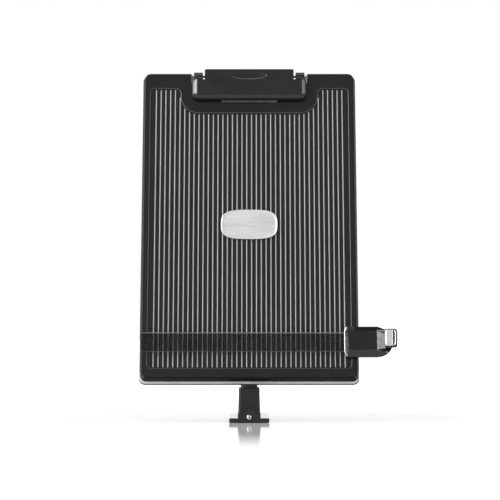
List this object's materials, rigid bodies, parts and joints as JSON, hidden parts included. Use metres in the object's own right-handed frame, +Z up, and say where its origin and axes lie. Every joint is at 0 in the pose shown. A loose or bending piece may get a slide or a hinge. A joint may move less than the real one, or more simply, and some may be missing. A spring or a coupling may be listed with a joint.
{
  "type": "copy holder",
  "caption": "Leaning ribbed board on a short post and foot, with a sprung paper clip on top and a see-through line guide that slides up and down.",
  "frame": {"origin": "where the post's swivel axis meets the table, under the foot", "axes": "+Z up, +X to the reader's right, the board faces -Y"},
  "size_m": [0.2746, 0.1263, 0.3854],
  "materials": {
    "textured_black": "fine moulded grain, satin",
    "gloss_black": "polished moulding",
    "satin_black": "satin moulding",
    "black_enamel": "gloss black enamel on steel",
    "black_steel": "black coated steel",
    "black_screws": "black oxide",
    "zinc_steel": "zinc plated",
    "bright_steel": "polished nickel plate",
    "spring_steel": "drawn wire",
    "badge_silver": "brushed with a bright rim",
    "lever_silver": "satin silver plate",
    "smoked_clear": "smoked acrylic, polished",
    "grip_rubber": "matt",
    "foot_rubber": "matt",
    "washer_plastic": "nylon"
  },
  "bodies": {
    "foot": {"foot_plate": "black_enamel", "foot_pad": "foot_rubber", "post_base": "gloss_black", "post": "satin_black", "grub_screw": "black_screws", "front_screw": "bright_steel", "base_screws": "zinc_steel", "swivel_washer": "washer_plastic"},
    "neck": {"swivel_neck": "satin_black"},
    "board": {"front_panel": "textured_black", "rear_cover": "textured_black", "cover_screws": "black_screws", "badge_plate": "badge_silver", "tilt_bracket": "black_steel", "bracket_screws": "black_screws", "tilt_bolt": "zinc_steel", "tilt_nut": "zinc_steel", "friction_washers": "washer_plastic", "clip_base": "black_steel", "clip_rivets": "zinc_steel", "hinge_rod": "black_steel", "rod_sleeve": "satin_black", "clip_spring_left": "spring_steel", "clip_spring_right": "spring_steel"},
    "clip": {"clip_lever": "gloss_black", "grip_pad": "grip_rubber"},
    "guide": {"guide_blade": "smoked_clear", "slider_body": "gloss_black", "slider_cap": "gloss_black", "blade_screws": "zinc_steel", "slider_screws": "zinc_steel", "lever_pin": "zinc_steel", "lever_spring": "spring_steel"},
    "brake": {"brake_lever": "lever_silver", "brake_shoe": "grip_rubber"}
  },
  "joints": [
    {"name": "board_swivel", "type": "hinge", "parent": "foot", "child": "neck", "pos_m": [0, 0, 0.0376], "axis": [0, 0, 1], "range_deg": [-30, 30]},
    {"name": "board_tilt", "type": "hinge", "parent": "neck", "child": "board", "pos_m": [0, 0, 0.0484], "axis": [1, 0, 0], "range_deg": [-25, 12]},
    {"name": "clip_open", "type": "hinge", "parent": "board", "child": "clip", "pos_m": [0, 0.07625, 0.37692], "axis": [-1, 0, 0], "range_deg": [0, 20], "stiffness_Nm_per_rad": 0.3, "springref_deg": -22.92, "deforming": ["clip_spring_left", "clip_spring_right"]},
    {"name": "guide_slide", "type": "slide", "parent": "board", "child": "guide", "axis": [0, 0.309, 0.9511], "range_m": [-0.014, 0.255]},
    {"name": "brake_press", "type": "hinge", "parent": "guide", "child": "brake", "pos_m": [0.1335, -0.00516, 0.08267], "axis": [0, 0.309, 0.9511], "range_deg": [0, 8], "stiffness_Nm_per_rad": 0.2, "springref_deg": -8.59, "deforming": ["lever_spring"]}
  ]
}
